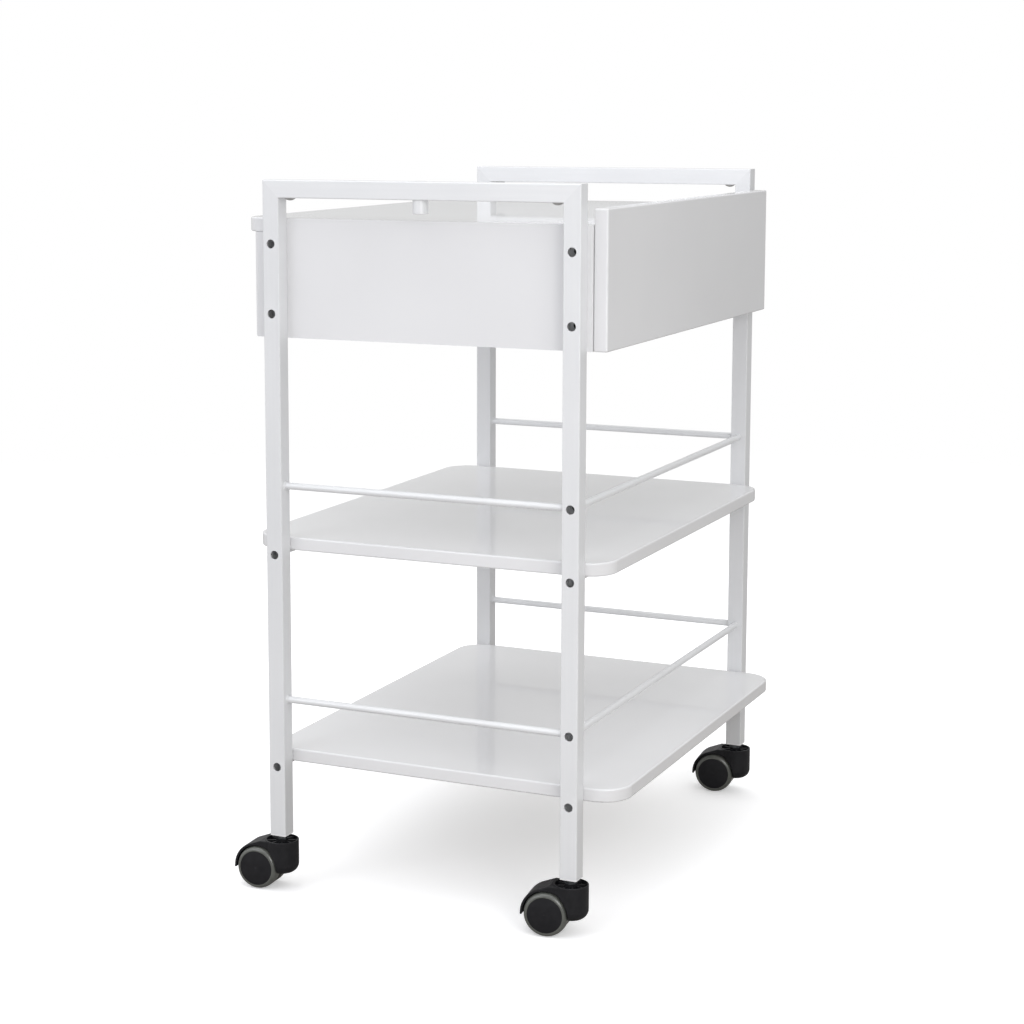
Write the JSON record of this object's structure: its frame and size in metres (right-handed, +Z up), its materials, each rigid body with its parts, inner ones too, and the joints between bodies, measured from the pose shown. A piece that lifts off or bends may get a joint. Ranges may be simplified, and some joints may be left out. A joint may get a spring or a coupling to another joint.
{
  "type": "esthetician cart",
  "caption": "Rolling salon cart: a drawer cabinet above open shelves with guard rods, held between square-tube side frames on hooded twin-wheel casters.",
  "frame": {"origin": "on the floor, under the middle of the frame", "axes": "+X to the right seen from the drawer side, +Y to the back, +Z up"},
  "size_m": [0.6281, 0.4677, 0.817],
  "materials": {
    "frame_paint": "satin powder coat",
    "board_lacquer": "gloss lacquer",
    "drawer_board": "matt melamine",
    "runner_steel": "zinc plated",
    "stem_steel": "zinc plated",
    "dark_screws": "darkened",
    "insert_plastic": "moulded",
    "plug_plastic": "moulded",
    "caster_plastic": "satin moulded",
    "tread_rubber": "soft satin"
  },
  "bodies": {
    "cart": {"left_front_leg": "frame_paint", "left_rear_leg": "frame_paint", "left_handle_bar": "frame_paint", "right_front_leg": "frame_paint", "right_rear_leg": "frame_paint", "right_handle_bar": "frame_paint", "left_guard_rods": "frame_paint", "right_guard_rods": "frame_paint", "front_guard_rods": "frame_paint", "shelf_supports": "frame_paint", "mid_shelf": "board_lacquer", "low_shelf": "board_lacquer", "left_side_panel": "board_lacquer", "right_side_panel": "board_lacquer", "top_panel": "board_lacquer", "back_panel": "board_lacquer", "bottom_panel": "board_lacquer", "cabinet_runners": "runner_steel", "leg_inserts": "insert_plastic", "caster_stems": "stem_steel", "lamp_socket": "frame_paint", "bar_plugs": "plug_plastic", "cabinet_screws": "dark_screws", "guard_screws": "dark_screws", "support_screws": "dark_screws", "runner_screws": "runner_steel"},
    "drawer": {"drawer_front": "board_lacquer", "drawer_inner_front": "drawer_board", "drawer_left_side": "drawer_board", "drawer_right_side": "drawer_board", "drawer_back": "drawer_board", "drawer_bottom": "drawer_board", "drawer_runners": "runner_steel", "drawer_screws": "runner_steel"},
    "left_middle_runner": {"left_middle_runner": "runner_steel"},
    "right_middle_runner": {"right_middle_runner": "runner_steel"},
    "left_front_caster": {"left_front_housing": "caster_plastic", "left_front_axle": "stem_steel"},
    "left_front_outer_wheel": {"left_front_outer_wheel": "caster_plastic", "left_front_outer_tread": "tread_rubber"},
    "left_front_inner_wheel": {"left_front_inner_wheel": "caster_plastic", "left_front_inner_tread": "tread_rubber"},
    "left_rear_caster": {"left_rear_housing": "caster_plastic", "left_rear_axle": "stem_steel"},
    "left_rear_outer_wheel": {"left_rear_outer_wheel": "caster_plastic", "left_rear_outer_tread": "tread_rubber"},
    "left_rear_inner_wheel": {"left_rear_inner_wheel": "caster_plastic", "left_rear_inner_tread": "tread_rubber"},
    "right_front_caster": {"right_front_housing": "caster_plastic", "right_front_axle": "stem_steel"},
    "right_front_outer_wheel": {"right_front_outer_wheel": "caster_plastic", "right_front_outer_tread": "tread_rubber"},
    "right_front_inner_wheel": {"right_front_inner_wheel": "caster_plastic", "right_front_inner_tread": "tread_rubber"},
    "right_rear_caster": {"right_rear_housing": "caster_plastic", "right_rear_axle": "stem_steel"},
    "right_rear_outer_wheel": {"right_rear_outer_wheel": "caster_plastic", "right_rear_outer_tread": "tread_rubber"},
    "right_rear_inner_wheel": {"right_rear_inner_wheel": "caster_plastic", "right_rear_inner_tread": "tread_rubber"}
  },
  "joints": [
    {"name": "drawer_slide", "type": "slide", "parent": "cart", "child": "drawer", "axis": [0, -1, 0], "range_m": [0, 0.3]},
    {"name": "left_runner_slide", "type": "slide", "parent": "cart", "child": "left_middle_runner", "axis": [0, -1, 0], "range_m": [0, 0.15]},
    {"name": "right_runner_slide", "type": "slide", "parent": "cart", "child": "right_middle_runner", "axis": [0, -1, 0], "range_m": [0, 0.15]},
    {"name": "left_front_swivel", "type": "hinge", "parent": "cart", "child": "left_front_caster", "pos_m": [-0.29, -0.18, 0.05], "axis": [0, 0, 1], "continuous": true},
    {"name": "left_front_outer_spin", "type": "hinge", "parent": "left_front_caster", "child": "left_front_outer_wheel", "pos_m": [-0.29305, -0.15519, 0.025], "axis": [-0.9925, -0.1219, 0], "continuous": true},
    {"name": "left_front_inner_spin", "type": "hinge", "parent": "left_front_caster", "child": "left_front_inner_wheel", "pos_m": [-0.29305, -0.15519, 0.025], "axis": [-0.9925, -0.1219, 0], "continuous": true},
    {"name": "left_rear_swivel", "type": "hinge", "parent": "cart", "child": "left_rear_caster", "pos_m": [-0.29, 0.18, 0.05], "axis": [0, 0, 1], "continuous": true},
    {"name": "left_rear_outer_spin", "type": "hinge", "parent": "left_rear_caster", "child": "left_rear_outer_wheel", "pos_m": [-0.29131, 0.20497, 0.025], "axis": [-0.9986, -0.0523, 0], "continuous": true},
    {"name": "left_rear_inner_spin", "type": "hinge", "parent": "left_rear_caster", "child": "left_rear_inner_wheel", "pos_m": [-0.29131, 0.20497, 0.025], "axis": [-0.9986, -0.0523, 0], "continuous": true},
    {"name": "right_front_swivel", "type": "hinge", "parent": "cart", "child": "right_front_caster", "pos_m": [0.29, -0.18, 0.05], "axis": [0, 0, 1], "continuous": true},
    {"name": "right_front_outer_spin", "type": "hinge", "parent": "right_front_caster", "child": "right_front_outer_wheel", "pos_m": [0.28739, -0.15514, 0.025], "axis": [-0.9945, -0.1045, 0], "continuous": true},
    {"name": "right_front_inner_spin", "type": "hinge", "parent": "right_front_caster", "child": "right_front_inner_wheel", "pos_m": [0.28739, -0.15514, 0.025], "axis": [-0.9945, -0.1045, 0], "continuous": true},
    {"name": "right_rear_swivel", "type": "hinge", "parent": "cart", "child": "right_rear_caster", "pos_m": [0.29, 0.18, 0.05], "axis": [0, 0, 1], "continuous": true},
    {"name": "right_rear_outer_spin", "type": "hinge", "parent": "right_rear_caster", "child": "right_rear_outer_wheel", "pos_m": [0.29261, 0.20486, 0.025], "axis": [-0.9945, 0.1045, 0], "continuous": true},
    {"name": "right_rear_inner_spin", "type": "hinge", "parent": "right_rear_caster", "child": "right_rear_inner_wheel", "pos_m": [0.29261, 0.20486, 0.025], "axis": [-0.9945, 0.1045, 0], "continuous": true}
  ],
  "couplings": [
    {"joint": "left_runner_slide", "follows": "drawer_slide", "ratio": 0.5},
    {"joint": "right_runner_slide", "follows": "drawer_slide", "ratio": 0.5}
  ]
}
